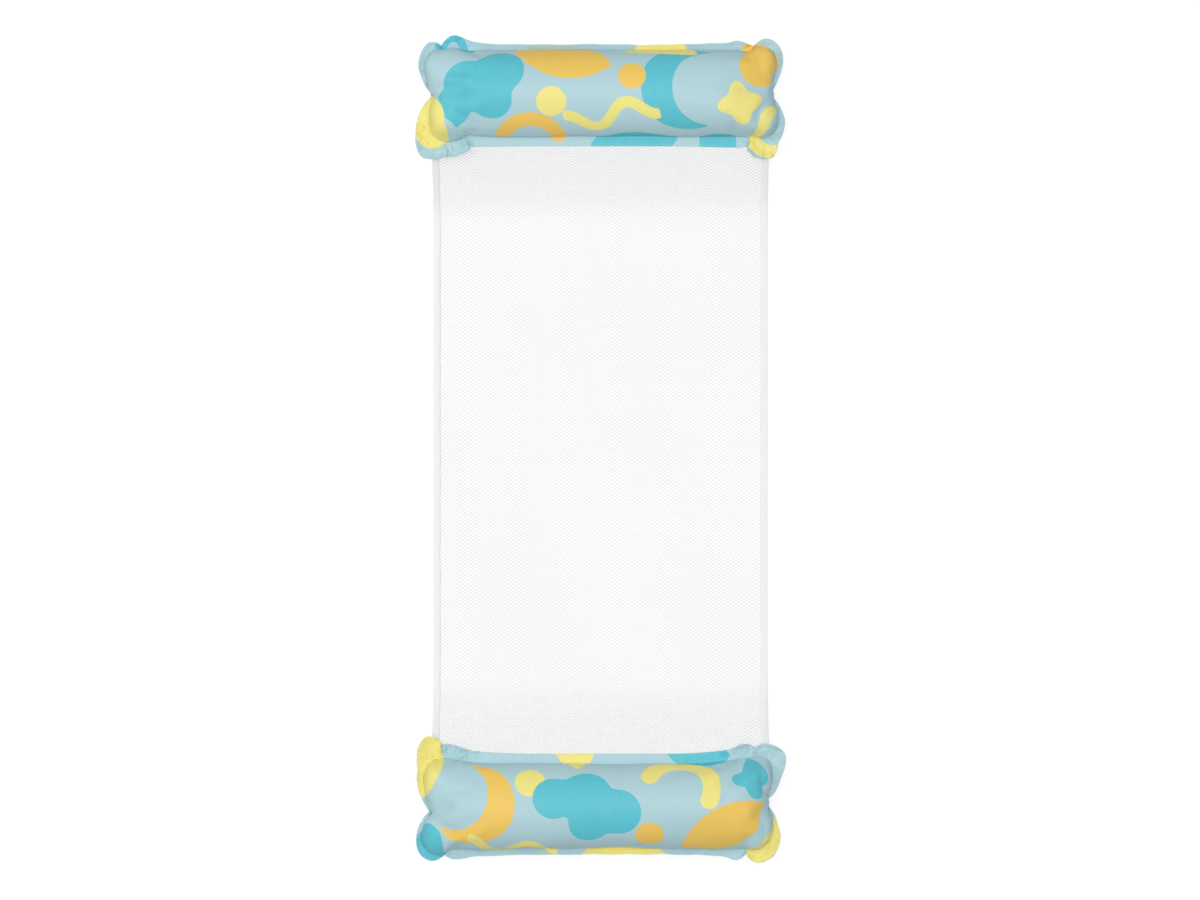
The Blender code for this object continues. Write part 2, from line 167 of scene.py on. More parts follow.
PILLOWS = {"head": (1, HEAD_CORNERS), "foot": (-1, FOOT_CORNERS)}

# Flange round a cover
FLANGE_THICKNESS = 0.0018
FLANGE_STEP = 0.0027
FLANGE_TUCK = 0.0018  # how far the flange reaches in between the two panels
WIDE_FLANGE = 0.0165  # from this width on it folds, fully so WIDE_FLANGE_FADE wider
WIDE_FLANGE_FADE = 0.008
RUFFLE_WIDTH = 0.018  # from this width on its edge waves more
RUFFLE_DEPTH = 0.0035
FOLD_DEPTH = 0.005
TAUT_WAVE = 0.0003  # least wave of its edge, and LOOSE_WAVE more away from the net
LOOSE_WAVE = 0.0009
UNEVEN_CUT = 0.15  # share of its width by which its edge strays
NET_SIDE_BLEND = 0.001  # how smoothly it is held above the net

# Net: staggered rows of openings
NET_PITCH = 0.00912  # between the openings of one row
NET_ROW = 0.00295  # from one row to the next
NET_ZIGZAG = 0.0006
NET_WAVE = 0.0009  # how far it lies uneven on the floor, fading over NET_WAVE_FADE
NET_WAVE_FADE = 0.05
NET_LOWEST = 0.0006
OPENING = ((0.0011, 0.0016), (0.0025, 0.00055))  # corners of a quarter of an opening
STRAND_ROUNDING = 0.0003
NET_RAMP = 0.12  # over which the net comes down from the flange to the floor
NET_UNDER_FLANGE = 0.01
NET_INSIDE_TAPE = 0.0012
TAPE_HALF_THICKNESS = 0.0011
TAPE_STITCHES_IN = 0.0025
TAPE_SHORT_OF_FOLD = 0.007
TAPE_PUCKER = 0.0006

# Sewing
STITCH_LENGTH = 0.003
STITCH_PITCH = 0.0042
THREAD_RADIUS = 0.00028
THREAD_SIDES = 5
SEAM_STITCHES = 0.003  # from the seam and from the free edge of a flange
EDGE_STITCHES = 0.0022

# Valve
OPENING_RADIUS = 0.015
FILM_HOLE_RADIUS = 0.0063
CUTTER_LENGTH = 0.024
BINDING_HALF_WIDTH = 0.0012
BINDING_HALF_HEIGHT = 0.0011
VALVE_FLAT_RADIUS = 0.018
VALVE_BLEND_RADIUS = 0.036
SAME_SIDE = 0.03  # only points closer than this to the film's height are flattened
VALVE_COVER_HEIGHT = 0.0024
FILM_GAP = 0.0003  # between the valve's ring and the film
FILM_THICKNESS = 0.0005
BLADDER_SHRINK = (0.965, 0.925, 0.925)
BLADDER_SMOOTHING = 12
STRAP_BEND = (0.34, 0.66)  # from the stem's leg to the plug's, as shares of the strap's height
STRAP_CUTS = 14
SHARP_EDGE = math.radians(50)

# Picture
VIEW_WIDTH = 1.92  # width of the floor that the picture takes in
CAMERA_X = -0.0008
LENS = 135
SENSOR = 36
FLOOR_GLOW = 0.8
SKY_STRENGTH = 0.45

# Colours, as linear red, green and blue
POWDER_BLUE = (0.430, 0.640, 0.685)
TURQUOISE = (0.085, 0.530, 0.625)
YELLOW = (0.880, 0.785, 0.215)
ORANGE = (0.880, 0.570, 0.095)
NET_COLOUR = (0.90, 0.90, 0.90)
TAPE_COLOUR = (0.93, 0.93, 0.93)
FILM_COLOUR = (0.62, 0.70, 0.73)
CLEAR_VINYL = (0.72, 0.79, 0.82)
BLUE_VINYL = (0.08, 0.46, 0.60)
PALE_THREAD = (0.50, 0.70, 0.76)
WHITE_THREAD = (0.90, 0.90, 0.90)
FLOOR_COLOUR = (0.30, 0.30, 0.30)
WHITE = (1.0, 1.0, 1.0)
SKY = (0.96, 0.98, 1.0)


def joint(name):
    return next(item for item in frame["joints"] if item["name"] == name)


def pillow_centre(end):
    """The middle of the tube, at the height of its long seams."""
    low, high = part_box(f"{end}_bladder_upper")
    return Vector(((low.x + high.x) / 2, (low.y + high.y) / 2, low.z))


FOLD_Y = joint("head_pillow_fold")["pos_m"][1]
FLANGE_Z = pillow_centre("head").z
FLOOR_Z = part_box("net_panel")[0].z + FLOOR_CLEARANCE
NET_END_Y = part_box("net_panel")[1].y
TAPE_INNER_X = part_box("right_edge_tape")[0].x
TAPE_EDGE_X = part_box("right_edge_tape")[1].x
TAPE_END_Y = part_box("right_edge_tape")[1].y - TAPE_SHORT_OF_FOLD


# Meshes


def add_object(name, mesh, *materials):
    made = bpy.data.objects.new(name, mesh)
    bpy.context.scene.collection.objects.link(made)
    for item in materials:
        mesh.materials.append(item)
    return made


def thicken(made, thickness, offset):
    wall = made.modifiers.new("wall", "SOLIDIFY")
    wall.thickness = thickness
    wall.offset = offset


def refine(made):
    finer = made.modifiers.new("finer", "SUBSURF")
    finer.levels = finer.render_levels = 1


def apply_modifiers(made):
    bpy.context.view_layer.update()
    shaped = made.evaluated_get(bpy.context.evaluated_depsgraph_get())
    mesh = bpy.data.meshes.new_from_object(shaped)
    made.modifiers.clear()
    made.data = mesh


def cut(made, cutter):
    hole = made.modifiers.new("hole", "BOOLEAN")
    hole.operation = "DIFFERENCE"
    hole.solver = "EXACT"
    hole.object = cutter
    apply_modifiers(made)
    bpy.data.objects.remove(cutter, do_unlink=True)
    made.data.shade_smooth()
    made.data.set_sharp_from_angle(angle=SHARP_EDGE)


def smooth_mesh(name, points, faces):
    mesh = bpy.data.meshes.new(name)
    mesh.from_pydata(points, [], faces)
    mesh.shade_smooth()
    return mesh


def turn_faces_out(mesh, fill_holes=False):
    bm = bmesh.new()
    bm.from_mesh(mesh)
    if fill_holes:
        bmesh.ops.holes_fill(bm, edges=[edge for edge in bm.edges if edge.is_boundary])
    bmesh.ops.recalc_face_normals(bm, faces=bm.faces)
    bm.to_mesh(mesh)
    bm.free()
    mesh.shade_smooth()


def quads(at, flip=False):
    """Faces through a grid of point numbers."""
    faces = np.stack([at[:-1, :-1], at[:-1, 1:], at[1:, 1:], at[1:, :-1]], axis=-1).reshape(-1, 4)
    return faces[:, ::-1] if flip else faces


def grid_mesh(name, points, print_at=None, flip=False, closed=False, ring=False, folds_at=None):
    """Quads through a grid of points, whose columns may close, and whose rows may as well.

    print_at is each point's place on the printed cloth, and folds_at its place along the seam
    and out from it."""
    at = np.arange(points[..., 0].size).reshape(points.shape[:2])
    if closed:
        at = np.hstack([at, at[:, :1]])
    if ring:
        at = np.vstack([at, at[:1]])
    mesh = smooth_mesh(name, points.reshape(-1, 3).tolist(), quads(at, flip).tolist())
    corners = np.empty(len(mesh.loops), int)
    mesh.loops.foreach_get("vertex_index", corners)
    for layer_name, places in (("print", print_at), ("folds", folds_at)):
        if places is not None:
            layer = mesh.uv_layers.new(name=layer_name)
            layer.data.foreach_set("uv", places.reshape(-1, 2)[corners].ravel())
    return mesh


def joined(upper, lower):
    """Two grids with one rim: their points, their faces, and the point numbers of each grid."""
    upper_at = np.arange(upper[..., 0].size).reshape(upper.shape[:2])
    lower_at = upper_at.copy()
    inner = lower[1:-1, 1:-1]
    lower_at[1:-1, 1:-1] = upper_at.size + np.arange(inner[..., 0].size).reshape(inner.shape[:2])
    points = np.vstack([upper.reshape(-1, 3), inner.reshape(-1, 3)])
    faces = quads(upper_at).tolist() + quads(lower_at, flip=True).tolist()
    return points, faces, upper_at, lower_at


def around(grid):
    """The sum of the four neighbours of each inner point."""
    return grid[:-2, 1:-1] + grid[2:, 1:-1] + grid[1:-1, :-2] + grid[1:-1, 2:]


def walked_along(line):
    """Each point's distance from the start of the line."""
    return np.concatenate([[0], np.cumsum(np.linalg.norm(np.diff(line, axis=0), axis=1))])


# Materials


class Nodes:
    """Adds nodes to a material or a world; each call returns an output socket."""

    def __init__(self, owner):
        owner.use_nodes = True
        self.owner = owner
        self.tree = owner.node_tree

    def put(self, kind, output, sockets, **settings):
        node = self.tree.nodes.new(kind)
        for key, value in settings.items():
            setattr(node, key, value)
        for place, value in sockets.items():
            self.connect(node.inputs[place], value)
        return node.outputs[output]

    def connect(self, socket, value):
        if isinstance(value, bpy.types.NodeSocket):
            self.tree.links.new(value, socket)
        elif value is not None:
            socket.default_value = value

    def math(self, operation, *values, clamp=False):
        sockets = dict(enumerate(values))
        return self.put("ShaderNodeMath", 0, sockets, operation=operation, use_clamp=clamp)

    def minus(self, a, b):
        return self.math("SUBTRACT", a, b)

    def times(self, a, b):
        return self.math("MULTIPLY", a, b)

    def vector(self, operation, *values):
        output = "Value" if operation in ("LENGTH", "DISTANCE", "DOT_PRODUCT") else "Vector"
        return self.put("ShaderNodeVectorMath", output, dict(enumerate(values)), operation=operation)

    def mix(self, factor, a, b):
        """A Mix node's colours go in at its sockets 6 and 7 and come out at 2."""
        return self.put("ShaderNodeMix", 2, {0: factor, 6: a, 7: b}, data_type="RGBA")

    def noise(self, where, scale, detail):
        sockets = {"Vector": where, "Scale": scale, "Detail": detail}
        return self.put("ShaderNodeTexNoise", "Fac", sockets)

    def wave(self, where, direction, period):
        """Even bands along one axis; a wave texture of scale 1 has a period of a tenth of pi."""
        sockets = {"Vector": where, "Scale": math.pi / 10 / period}
        return self.put("ShaderNodeTexWave", "Fac", sockets, bands_direction=direction)

    def bump(self, height, strength, distance, normal=None):
        sockets = {"Strength": strength, "Distance": distance, "Height": height, "Normal": normal}
        return self.put("ShaderNodeBump", "Normal", sockets)

    def backdrop(self):
        """1 for rays from the camera, or through glass or off metal."""
        path = self.put("ShaderNodeLightPath", "Is Camera Ray", {}).node.outputs
        seen = self.math("MAXIMUM", path["Is Camera Ray"], path["Is Glossy Ray"])
        return self.math("MAXIMUM", seen, path["Is Transmission Ray"])

    def finish(self, colour, normal=None, **values):
        shader = self.tree.nodes["Principled BSDF"]
        self.connect(shader.inputs["Base Color"], colour)
        self.connect(shader.inputs["Normal"], normal)
        for name, value in values.items():
            self.connect(shader.inputs[name.replace("_", " ")], value)
        return self.owner


def material_nodes(name):
    return Nodes(bpy.data.materials.new(name))


def rgba(colour, share=1.0):
    return (*(value * share for value in colour), 1.0)


# Motifs of the print. Each is a distance from its outline, below 0 inside, in the motif's own
# units, in which it is about 2 across.


def dot(n, p):
    return n.minus(n.vector("LENGTH", p), 1.0)


def blob(n, p, circles, blend):
    """Circles, each with its centre and radius, that run into one another."""
    outline = None
    for x, y, radius in circles:
        part = n.minus(n.vector("DISTANCE", p, (x, y, 0)), radius)
        outline = part if outline is None else n.math("SMOOTH_MIN", outline, part, blend)
    return outline


def cloud(n, p):
    circles = [(-0.62, -0.12, 0.36), (-0.12, 0.14, 0.44), (0.5, 0.1, 0.4), (0.12, -0.3, 0.34)]
    return blob(n, p, circles, 0.22)


def pebble(n, p):
    return blob(n, p, [(-0.45, -0.05, 0.55), (0.42, 0.2, 0.5), (0.1, -0.38, 0.4)], 0.5)


def leaf(n, p):
    raised = n.vector("ADD", n.vector("ABSOLUTE", p), (0, 0.75, 0))
    return n.minus(n.vector("LENGTH", raised), 1.25)


def arch(n, p):
    ring = n.minus(n.math("ABSOLUTE", n.minus(n.vector("LENGTH", p), 0.78)), 0.22)
    lower_half = n.math("MAXIMUM", ring, n.vector("DOT_PRODUCT", p, (0, -1, 0)))
    end = n.vector("DISTANCE", n.vector("ABSOLUTE", p), (0.78, 0, 0))
    return n.math("MINIMUM", lower_half, n.minus(end, 0.22))


def ripple(n, p):
    x = n.vector("DOT_PRODUCT", p, (1, 0, 0))
    y = n.vector("DOT_PRODUCT", p, (0, 1, 0))
    phase = n.times(x, 5.0)
    crest = n.times(n.math("SINE", phase), 0.2)
    slope = n.math("COSINE", phase)
    steepness = n.math("SQRT", n.math("MULTIPLY_ADD", slope, slope, 1.0))
    away = n.math("DIVIDE", n.math("ABSOLUTE", n.minus(y, crest)), steepness)
    past_end = n.minus(n.math("ABSOLUTE", x), 0.97)
    return n.math("SMOOTH_MAX", n.minus(away, 0.115), past_end, 0.1)


def crescent(n, p):
    bite = n.minus(0.86, n.vector("DISTANCE", p, (0.42, 0.3, 0)))
    return n.math("SMOOTH_MAX", n.minus(n.vector("LENGTH", p), 1.0), bite, 0.12)


def sail(n, p):
    sides = [
        n.minus(n.vector("DOT_PRODUCT", p, (math.cos(a), math.sin(a), 0)), 0.5)
        for a in (math.pi / 2, math.pi * 7 / 6, math.pi * 11 / 6)
    ]
    return n.math("SMOOTH_MAX", n.math("SMOOTH_MAX", sides[0], sides[1], 0.3), sides[2], 0.3)


def petals(n, p):
    parts = n.put("ShaderNodeSeparateXYZ", 0, {0: p}).node.outputs
    angle = n.math("ARCTAN2", parts["Y"], parts["X"])
    wave = n.times(n.math("COSINE", n.times(angle, 4.0)), 0.16)
    return n.minus(n.minus(n.vector("LENGTH", p), 0.8), wave)


# (motif, colour, place on the cloth, half its size, turn in degrees)
HEAD_PRINT = [
    (cloud, TURQUOISE, (-0.196, 0.004), 0.094, 28),
    (leaf, ORANGE, (-0.062, 0.062), 0.082, -14),
    (dot, YELLOW, (-0.078, -0.018), 0.024, 0),
    (arch, ORANGE, (-0.112, -0.094), 0.058, -8),
    (ripple, YELLOW, (0.018, -0.040), 0.078, 14),
    (dot, ORANGE, (0.050, 0.024), 0.022, 0),
    (crescent, TURQUOISE, (0.140, 0.008), 0.076, -38),
    (sail, YELLOW, (0.098, 0.106), 0.074, 176),
    (petals, YELLOW, (0.222, -0.020), 0.038, 10),
    (leaf, TURQUOISE, (0.054, -0.112), 0.070, 4),
    (pebble, ORANGE, (0.262, 0.070), 0.062, 70),
    (arch, YELLOW, (0.300, -0.078), 0.052, 110),
    (pebble, YELLOW, (-0.310, -0.052), 0.056, 100),
    (ripple, TURQUOISE, (-0.262, 0.112), 0.066, -12),
    (dot, TURQUOISE, (0.188, -0.112), 0.030, 0),
]
FOOT_PRINT = [
    (crescent, ORANGE, (-0.206, 0.008), 0.070, 118),
    (dot, YELLOW, (-0.112, 0.044), 0.024, 0),
    (ripple, YELLOW, (-0.140, -0.078), 0.078, -10),
    (cloud, TURQUOISE, (-0.018, 0.004), 0.092, -24),
    (dot, ORANGE, (0.078, -0.046), 0.023, 0),
    (arch, YELLOW, (0.126, 0.034), 0.066, -24),
    (leaf, ORANGE, (0.196, -0.040), 0.080, 32),
    (petals, TURQUOISE, (0.250, 0.048), 0.040, 0),
    (sail, YELLOW, (-0.040, 0.128), 0.062, 4),
    (leaf, YELLOW, (0.034, -0.118), 0.070, 3),
    (pebble, TURQUOISE, (-0.300, -0.088), 0.060, 30),
    (pebble, YELLOW, (-0.300, 0.086), 0.052, 60),
    (leaf, TURQUOISE, (0.160, 0.118), 0.056, -6),
    (pebble, YELLOW, (0.308, -0.090), 0.056, 20),
]
PRINT_EDGE = 0.0006  # width over which one colour turns into the next
WEAVE = 0.0007  # from thread to thread
PUCKER_REACH = 0.03  # how far the seam's puckers reach into the cloth
PUCKER_DEPTH = 0.006
PLEATS = (((135, 42, 0), 0.0055), ((52, 84, 0), 0.0085))  # how fine they are, and how deep
FLANGE_CRUMPLE = 0.42


def print_colour(n, place, motifs):
    """The motifs over the plain cloth, one colour after the other."""
    covers = {}
    for motif, colour, (x, y), size, turn in motifs:
        sockets = {
            "Vector": place,
            "Location": (x, y, 0),
            "Rotation": (0, 0, math.radians(turn)),
            "Scale": (size, size, 1),
        }
        outline = motif(n, n.put("ShaderNodeMapping", 0, sockets, vector_type="TEXTURE"))
        cover = n.math("MULTIPLY_ADD", outline, -size / PRINT_EDGE, 0.5, clamp=True)
        covers[colour] = n.math("MAXIMUM", covers[colour], cover) if colour in covers else cover
    mixed = rgba(POWDER_BLUE)
    for ink, cover in covers.items():
        mixed = n.mix(cover, mixed, rgba(ink))
    return mixed


def pleats(n, place, crumple, normal):
    """Ridged folds of the gathered flange, towards the pillow's ends."""
    folds = n.put("ShaderNodeUVMap", 0, {}, uv_map="folds")
    from_middle = n.math("ABSOLUTE", n.vector("DOT_PRODUCT", place, (1, 0, 0)))
    at_ends = n.math("MULTIPLY_ADD", from_middle, 20.0, -3.8, clamp=True)
    for stretch, depth in PLEATS:
        fold = n.minus(n.noise(n.vector("MULTIPLY", folds, stretch), 1.0, 1.0), 0.5)
        normal = n.bump(n.times(n.math("ABSOLUTE", fold), at_ends), crumple, depth, normal)
    return normal


def puckers(n, place, normal):
    """Fine folds that run in from the seam."""
    for across, half, stretch in (
        ((0, 1, 0), PATTERN_WIDTH / 2, (190, 26, 0)),
        ((1, 0, 0), PATTERN_LENGTH / 2, (26, 170, 0)),
    ):
        from_middle = n.math("ABSOLUTE", n.vector("DOT_PRODUCT", place, across))
        offset = 1 - half / PUCKER_REACH
        near = n.math("MULTIPLY_ADD", from_middle, 1 / PUCKER_REACH, offset, clamp=True)
        pucker = n.noise(n.vector("MULTIPLY", place, stretch), 1.0, 1.0)
        normal = n.bump(n.times(pucker, n.times(near, near)), 0.5, PUCKER_DEPTH, normal)
    return normal


def printed_cloth(name, motifs, crumple=0.0):
    """Satin-finished polyester with a printed pattern and a fine plain weave."""
    n = material_nodes(name)
    place = n.put("ShaderNodeUVMap", 0, {}, uv_map="print")
    faded = n.math("MULTIPLY_ADD", n.noise(place, 90, 3), 0.08, -0.02, clamp=True)
    colour = n.mix(faded, print_colour(n, place, motifs), rgba(WHITE))
    soft = n.bump(n.noise(place, 70, 2), 0.12, 0.001)
    folded = pleats(n, place, crumple, soft) if crumple else puckers(n, place, soft)
    weave = n.math("ADD", n.wave(place, "X", WEAVE), n.wave(place, "Y", WEAVE))
    return n.finish(
        colour,
        n.bump(weave, 0.12, 0.0002, folded),
        Roughness=0.5,
        Specular_IOR_Level=0.36,
        Sheen_Weight=0.06,
        Sheen_Roughness=0.4,
    )


def plain_colour(n, colour, scale, darkest):
    """A colour that strays a little, down to a share of itself, and the place it is read at."""
    place = n.put("ShaderNodeTexCoord", "Object", {})
    return n.mix(n.noise(place, scale, 3), rgba(colour, darkest), rgba(colour)), place


def knitted(name, colour, period):
    n = material_nodes(name)
    shade, place = plain_colour(n, colour, 55, 0.97)
    ribs = n.math("ADD", n.wave(place, "X", period), n.wave(place, "Y", period * 1.3))
    return n.finish(shade, n.bump(ribs, 0.25, 0.0003), Roughness=0.7, Sheen_Weight=0.1)


def woven_tape(name, colour):
    n = material_nodes(name)
    shade, place = plain_colour(n, colour, 40, 0.965)
    ribs = n.math("MULTIPLY_ADD", n.wave(place, "Y", 0.0011), 0.7, n.wave(place, "X", 0.0016))
    return n.finish(shade, n.bump(ribs, 0.35, 0.0003), Roughness=0.75, Sheen_Weight=0.15)


def vinyl(name, colour, roughness, coat):
    n = material_nodes(name)
    shade, place = plain_colour(n, colour, 220, 0.93)
    looks = {"Roughness": roughness, "Coat_Weight": coat, "Coat_Roughness": 0.15}
    normal = n.bump(n.noise(place, 900, 2), 0.08, 0.0002)
    return n.finish(shade, normal, Specular_IOR_Level=0.5, **looks)


def thread(name, colour):
    n = material_nodes(name)
    twist = n.wave(n.put("ShaderNodeTexCoord", "Object", {}), "DIAGONAL", 0.0004)
    return n.finish(rgba(colour), n.bump(twist, 0.4, 0.0001), Roughness=0.6)


# Outline of a cover, flat and drawn in

ARC_START = PATTERN_LENGTH / 2 - PATTERN_CORNER
LONG_QUARTER = ARC_START + PATTERN_CORNER * math.pi / 4
SHORT_QUARTER = PATTERN_WIDTH / 2 - PATTERN_CORNER + PATTERN_CORNER * math.pi / 4
QUARTER = LONG_QUARTER + SHORT_QUARTER


def drift(x, y, seed):
    """Smooth noise over a plane, from about -1 to 1."""
    return noise.noise(Vector((x, y, seed)))


def flat_outline(distance):
    """Point and outward direction on a quarter of the flat pattern, from the long side's middle."""
    turn = min(max((distance - ARC_START) / PATTERN_CORNER, 0), math.pi / 2)
    x = min(distance, ARC_START) + PATTERN_CORNER * math.sin(turn)
    past = max(distance - ARC_START - PATTERN_CORNER * math.pi / 2, 0)
    y = PATTERN_WIDTH / 2 - PATTERN_CORNER * (1 - math.cos(turn)) - past
    return np.array((x, y)), np.array((math.sin(turn), math.cos(turn)))


def smooth_line(stations, steps=24):
    """A curve through the stations; the last value runs straight from one to the next."""
    points = np.array(stations, float)
    points = np.vstack([2 * points[0] - points[1], points, 2 * points[-1] - points[-2]])
    line = []
    for a, b, c, d in zip(points, points[1:], points[2:], points[3:]):
        for t in np.linspace(0, 1, steps, endpoint=False):
            bend = (2 * a - 5 * b + 4 * c - d) * t**2 + (3 * b - a - 3 * c + d) * t**3
            point = (2 * b + (c - a) * t + bend) / 2
            point[-1] = b[-1] + (c[-1] - b[-1]) * t
            line.append(point)
    return np.array(line + [points[-2]])


class Quarter:
    """One corner's seam: spare cloth is gathered where its stations say so."""

    def __init__(self, stations, sign_x, sign_y):
        _, y, curl, _, width = stations[0]
        self.line = smooth_line([(0, y, curl, 0, width), *stations])
        self.signs = np.array((sign_x, sign_y))
        steps = np.linalg.norm(np.diff(self.line[:, :2], axis=0), axis=1)
        gathers = np.clip((self.line[1:, 3] + self.line[:-1, 3]) / 2, 0, None)
        fullness = (QUARTER - steps.sum()) / (steps * gathers).sum()
        self.cloth = np.concatenate([[0], np.cumsum(steps * (1 + fullness * gathers))])

    def at(self, distance):
        """Seam place, curl, gather and flange width at that distance along the flat outline."""
        row = [np.interp(distance, self.cloth, self.line[:, i]) for i in range(5)]
        return np.array(row[:2]) * self.signs, row[2], max(row[3], 0), row[4]

    def flat(self, distance):
        point, outwards = flat_outline(distance)
        return point * self.signs, outwards * self.signs


def patch(top, bottom, left, right):
    """Fills a grid between four edges of points."""
    u = np.linspace(0, 1, len(top))[None, :, None]
    v = np.linspace(0, 1, len(left))[:, None, None]
    across = (1 - v) * bottom[None] + v * top[None]
    along = (1 - u) * left[:, None] + u * right[:, None]
    corners = (1 - v) * ((1 - u) * bottom[0] + u * bottom[-1]) + v * ((1 - u) * top[0] + u * top[-1])
    return across + along - corners


def upwards(heights):
    return np.dstack([0 * heights, 0 * heights, heights])


class Cover:
    """A pillow's cover: its seam, its cloth laid flat, and the cloth's inflated shape."""

    def __init__(self, end):
        self.end = end
        self.side, corners = PILLOWS[end]
        self.centre = pillow_centre(end)
        self.quarters = {signs: Quarter(stations, *signs) for signs, stations in corners.items()}
        self.flat, drawn = self.grids()
        self.upper, self.lower = (
            self.swollen(self.filled(panel, drawn, up), up)
            for panel, up in zip(self.inflate(drawn), (1, -1))
        )

    def seam_height(self, flat):
        """The seam strays a little up and down from its plane."""
        return SEAM_WAVE * drift(flat[0] * 22, flat[1] * 22, 3.7 * self.side) * self.looseness(flat)

    def looseness(self, flat):
        """0 where the net holds the seam taut, 1 everywhere else."""
        if flat[1] * self.side > 0:
            return 1.0
        return min(max((abs(flat[0]) - NET_HOLDS_UP_TO) / NET_LETS_GO, 0), 1)

    def edge(self, places, along_x):
        """Flat and drawn points of one side of the grid."""
        flat, drawn = [], []
        for a, b in places:
            quarter = self.quarters[1 if a >= 0 else -1, 1 if b >= 0 else -1]
            if along_x:
                distance = abs(a) * LONG_QUARTER
            else:
                distance = LONG_QUARTER + (1 - abs(b)) * SHORT_QUARTER
            point = quarter.flat(distance)[0]
            flat.append((*point, 0.0))
            drawn.append((*quarter.at(distance)[0], self.seam_height(point)))
        return np.array(flat), np.array(drawn)

    def grids(self):
        """The cloth laid flat, and the same grid with its rim on the drawn-in seam."""
        across = np.linspace(-1, 1, 2 * round(LONG_QUARTER / CLOTH_CELL) + 1)
        along = np.linspace(-1, 1, 2 * round(SHORT_QUARTER / CLOTH_CELL) + 1)
        edges = [self.edge([(a, side) for a in across], True) for side in (1, -1)]
        edges += [self.edge([(side, b) for b in along], False) for side in (-1, 1)]
        return [patch(*sides) for sides in zip(*edges)]

    def inflate(self, drawn):
        """Points of the upper and lower panel, from the tube's centre, after the simulation."""
        rows, columns = self.flat.shape[:2]
        a = np.linspace(-1, 1, columns)[None, :]
        b = np.linspace(-1, 1, rows)[:, None]
        if not SIMULATED:
            swell = (1 - a**8) ** 0.5 * (1 - b**2) ** 0.5 * PATTERN_WIDTH / math.pi * 0.96
            return drawn + upwards(swell), drawn - upwards(swell)
        dome = START_DOME * ((1 - a**2) * (1 - b**2)) + START_GAP
        ripples = [[drift(x * 16, y * 16, 5.1 * self.side) for x, y, _ in row] for row in self.flat]
        ripples = START_RIPPLE * np.array(ripples)
        lifts = [dome + ripples, -dome - np.abs(ripples)]
        for lift in lifts:
            lift[[0, -1], :] = 0
            lift[:, [0, -1]] = 0
        start, faces, upper_at, lower_at = joined(*(self.flat + upwards(lift) for lift in lifts))
        goal = joined(*(drawn + upwards(lift) for lift in lifts))[0]
        rim = np.setdiff1d(upper_at, upper_at[1:-1, 1:-1]).tolist()
        cloth = self.simulate(start, goal, faces, rim)
        return cloth[upper_at], cloth[lower_at]

    def simulate(self, start, goal, faces, rim):
        """Inflates the flat cover while its seam is drawn in to its place."""
        made = add_object("cloth", smooth_mesh("cloth", start.tolist(), faces))
        made.shape_key_add(name="flat")
        key = made.shape_key_add(name="drawn in")
        key.data.foreach_set("co", goal.ravel())
        for value, at in ((0, 1), (1, DRAWN_AT)):
            key.value = value
            key.keyframe_insert("value", frame=at)
        made.vertex_groups.new(name="seam").add(rim, 1.0, "REPLACE")
        ends = made.vertex_groups.new(name="ends")
        for i, (x, y, _) in enumerate(start.tolist()):
            from_tip = math.hypot(PATTERN_LENGTH / 2 - abs(x), PATTERN_WIDTH / 2 - abs(y))
            ends.add([i], min(max(1.3 - from_tip / SPARE_REACH, 0), 1), "REPLACE")
        modifier = made.modifiers.new("cloth", "CLOTH")
        modifier.collision_settings.use_collision = False
        modifier.point_cache.frame_start = 1
        modifier.point_cache.frame_end = LAST_FRAME
        settings = modifier.settings
        settings.quality = 8
        settings.mass = 0.1
        settings.tension_stiffness = settings.compression_stiffness = TENSION
        settings.shear_stiffness = TENSION / 2
        settings.bending_stiffness = BENDING
        settings.tension_damping = settings.compression_damping = settings.shear_damping = 10
        settings.bending_damping = 1
        settings.air_damping = 3
        settings.use_pressure = True
        settings.uniform_pressure_force = PRESSURE
        settings.vertex_group_mass = "seam"
        settings.vertex_group_shrink = "ends"
        settings.shrink_max = -SPARE_CLOTH
        settings.effector_weights.gravity = 0
        for at in range(1, LAST_FRAME + 1):
            bpy.context.scene.frame_set(at)
        shaped = made.evaluated_get(bpy.context.evaluated_depsgraph_get())
        cloth = np.array([vertex.co for vertex in shaped.data.vertices])
        bpy.data.objects.remove(made, do_unlink=True)
        bpy.context.scene.frame_set(1)
        return cloth

    def filled(self, points, drawn, up):
        """Lifts the cloth near the seam of the ends to a rounded lobe."""
        start = np.vstack([drawn[0], drawn[:, -1], drawn[-1, ::-1], drawn[::-1, 0]])[:, :2]
        step = np.roll(start, -1, axis=0) - start
        flat = points.reshape(-1, 1, 3)[..., :2]
        share = ((flat - start) * step).sum(-1) / ((step**2).sum(-1) + 1e-12)
        nearest = start + np.clip(share, 0, 1)[..., None] * step
        inwards = np.linalg.norm(flat - nearest, axis=-1).min(axis=1).reshape(points.shape[:2])
        part = np.clip(inwards / LOBE_RISE, 0, 1)
        least = LOBE_HEIGHT * np.sqrt(1 - (1 - part) ** 2)
        height = points[..., 2] * up
        mixed = np.clip(0.5 + (least - height) / (2 * LOBE_BLEND), 0, 1)
        raised = height + (least - height) * mixed + LOBE_BLEND * mixed * (1 - mixed)
        edge = np.clip(inwards / LOBE_BLEND, 0, 1)
        lifted = points.copy()
        lifted[..., 2] = up * (height + (np.maximum(raised, height) - height) * edge)
        return lifted

